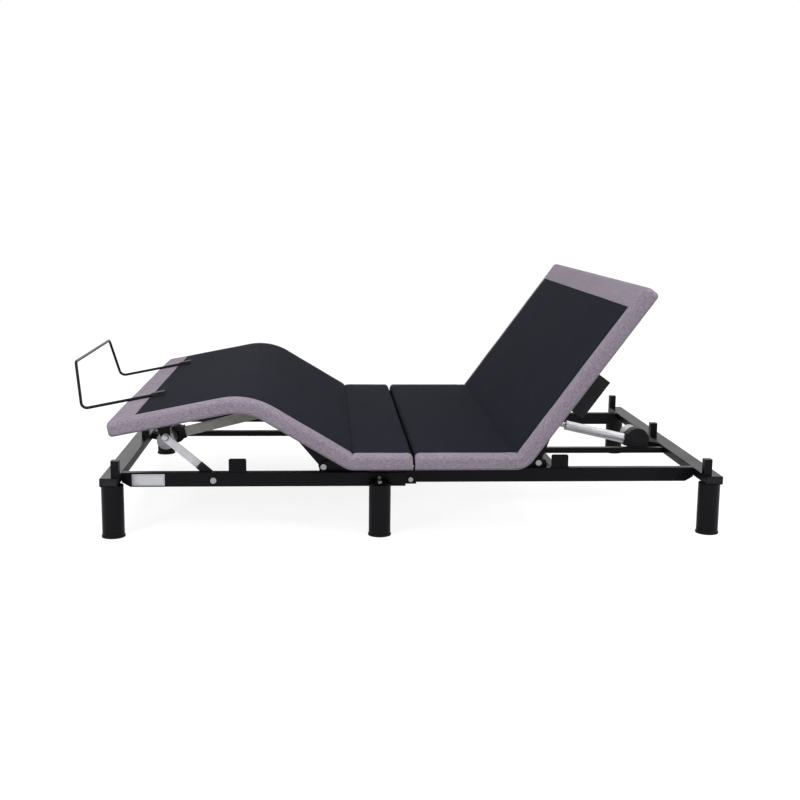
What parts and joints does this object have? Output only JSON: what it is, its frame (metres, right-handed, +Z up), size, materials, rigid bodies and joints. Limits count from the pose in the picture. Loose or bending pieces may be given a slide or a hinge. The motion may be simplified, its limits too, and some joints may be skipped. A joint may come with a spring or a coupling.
{
  "type": "adjustable bed base",
  "caption": "Motorised adjustable bed base with an upholstered folding deck on a steel frame with six round legs.",
  "frame": {"origin": "floor level under the middle of the rest pose's bounding box", "axes": "+X towards the head end, +Z up, -Y the near side"},
  "size_m": [2.1845, 1.514, 0.8332],
  "materials": {
    "black_frame": "satin black powder coat",
    "zinc": "bright zinc",
    "gloss_leg": "gloss",
    "rubber": "matt",
    "label": "matt film",
    "plywood": "sanded",
    "pine": "sanded",
    "upholstery": "woven",
    "black_plastic": "fine texture",
    "nylon": "satin",
    "motor_can": "satin",
    "silver_tube": "satin",
    "screw_steel": "machined"
  },
  "bodies": {
    "base": {"foot_rail_near": "black_frame", "foot_rail_far": "black_frame", "head_rail_near": "black_frame", "head_rail_far": "black_frame", "foot_crossbar": "black_frame", "head_crossbar": "black_frame", "inner_cross_tubes": "black_frame", "tie_bars": "black_frame", "splice_brackets": "black_frame", "frame_bolts": "zinc", "legs": "gloss_leg", "leg_glides": "rubber", "mid_leg_brackets": "black_frame", "posts": "black_frame", "deck_rest_tabs": "black_frame", "pivot_brackets": "black_frame", "lift_pivot_bolts": "zinc", "actuator_brackets": "black_frame", "blank_label": "label", "seat_boards": "plywood", "seat_slats": "pine", "seat_foot_pad": "upholstery", "seat_head_pad": "upholstery", "seat_hinge_leaves": "zinc"},
    "head_panel": {"head_board": "plywood", "head_slats": "pine", "head_pad": "upholstery", "head_hinge_leaves": "zinc", "control_box_shell": "black_plastic", "control_box_lid": "black_plastic", "power_inlet": "black_plastic"},
    "head_lift": {"head_lift_frame": "black_frame", "head_lift_glides": "nylon"},
    "head_actuator": {"head_actuator_housing": "black_plastic", "head_motor": "motor_can", "head_outer_tube": "silver_tube", "head_lead_screw": "screw_steel"},
    "head_rod": {"head_rod": "silver_tube"},
    "thigh_panel": {"thigh_board": "plywood", "thigh_slats": "pine", "thigh_pad": "upholstery", "thigh_hinge_leaves": "zinc"},
    "knee_slat": {"knee_board": "plywood", "knee_pad": "upholstery", "knee_hinge_leaves": "zinc"},
    "leg_panel": {"leg_board": "plywood", "leg_slats": "pine", "leg_pad": "upholstery", "leg_hinge_leaves": "zinc", "link_brackets": "black_frame", "retainer_clips": "black_plastic"},
    "foot_lift": {"foot_lift_frame": "black_frame", "foot_lift_glides": "nylon"},
    "leg_links": {"leg_links": "zinc"},
    "foot_actuator": {"foot_actuator_housing": "black_plastic", "foot_motor": "motor_can", "foot_outer_tube": "silver_tube", "foot_lead_screw": "screw_steel"},
    "foot_rod": {"foot_rod": "silver_tube"},
    "retainer": {"retainer_bar": "black_frame"}
  },
  "joints": [
    {"name": "head_hinge", "type": "hinge", "parent": "base", "child": "head_panel", "pos_m": [0.39437, 0, 0.285], "axis": [0, -1, 0], "range_deg": [-54, 2]},
    {"name": "head_lift", "type": "hinge", "parent": "base", "child": "head_lift", "pos_m": [0.49937, 0, 0.212], "axis": [0, -1, 0], "range_deg": [-64.9, 2.6]},
    {"name": "head_actuator_swing", "type": "hinge", "parent": "base", "child": "head_actuator", "pos_m": [1.00937, 0, 0.19], "axis": [0, 1, 0], "range_deg": [-8.4, 0.5]},
    {"name": "head_rod_slide", "type": "slide", "parent": "head_actuator", "child": "head_rod", "axis": [-0.9757, 0, 0.219], "range_m": [-0.07425, 0.00323]},
    {"name": "thigh_hinge", "type": "hinge", "parent": "base", "child": "thigh_panel", "pos_m": [-0.14163, 0, 0.285], "axis": [0, 1, 0], "range_deg": [-30.7, 1.3]},
    {"name": "knee_upper_hinge", "type": "hinge", "parent": "thigh_panel", "child": "knee_slat", "pos_m": [-0.4442, 0, 0.42395], "axis": [0, 1, 0], "range_deg": [-1.09, 21.2]},
    {"name": "knee_lower_hinge", "type": "hinge", "parent": "knee_slat", "child": "leg_panel", "pos_m": [-0.51319, 0, 0.43574], "axis": [0, 1, 0], "range_deg": [-1.09, 21.2]},
    {"name": "foot_lift", "type": "hinge", "parent": "base", "child": "foot_lift", "pos_m": [-0.23363, 0, 0.212], "axis": [0, 1, 0], "range_deg": [-42.11, 1.98]},
    {"name": "leg_link", "type": "hinge", "parent": "base", "child": "leg_links", "pos_m": [-0.59563, 0, 0.173], "axis": [0, 1, 0], "range_deg": [-41.6, 1.95]},
    {"name": "foot_actuator_swing", "type": "hinge", "parent": "base", "child": "foot_actuator", "pos_m": [-0.86563, 0, 0.177], "axis": [0, -1, 0], "range_deg": [-7.5, 0.51]},
    {"name": "foot_rod_slide", "type": "slide", "parent": "foot_actuator", "child": "foot_rod", "axis": [0.9716, 0, 0.2366], "range_m": [-0.06283, 0.00314]},
    {"name": "retainer_pull_out", "type": "slide", "parent": "leg_panel", "child": "retainer", "axis": [-0.9806, 0, -0.1959], "range_m": [0, 0.08]}
  ],
  "couplings": [
    {"joint": "head_lift", "follows": "head_hinge", "ratio": 1.1982},
    {"joint": "head_actuator_swing", "follows": "head_hinge", "ratio": 0.15179},
    {"joint": "head_rod_slide", "follows": "head_hinge", "m_per_rad": 0.078252},
    {"joint": "knee_upper_hinge", "follows": "thigh_hinge", "ratio": -0.68404},
    {"joint": "knee_lower_hinge", "follows": "thigh_hinge", "ratio": -0.68404},
    {"joint": "foot_lift", "follows": "thigh_hinge", "ratio": 1.3652},
    {"joint": "leg_link", "follows": "thigh_hinge", "ratio": 1.3485},
    {"joint": "foot_actuator_swing", "follows": "thigh_hinge", "ratio": 0.2377},
    {"joint": "foot_rod_slide", "follows": "thigh_hinge", "m_per_rad": 0.11633}
  ]
}
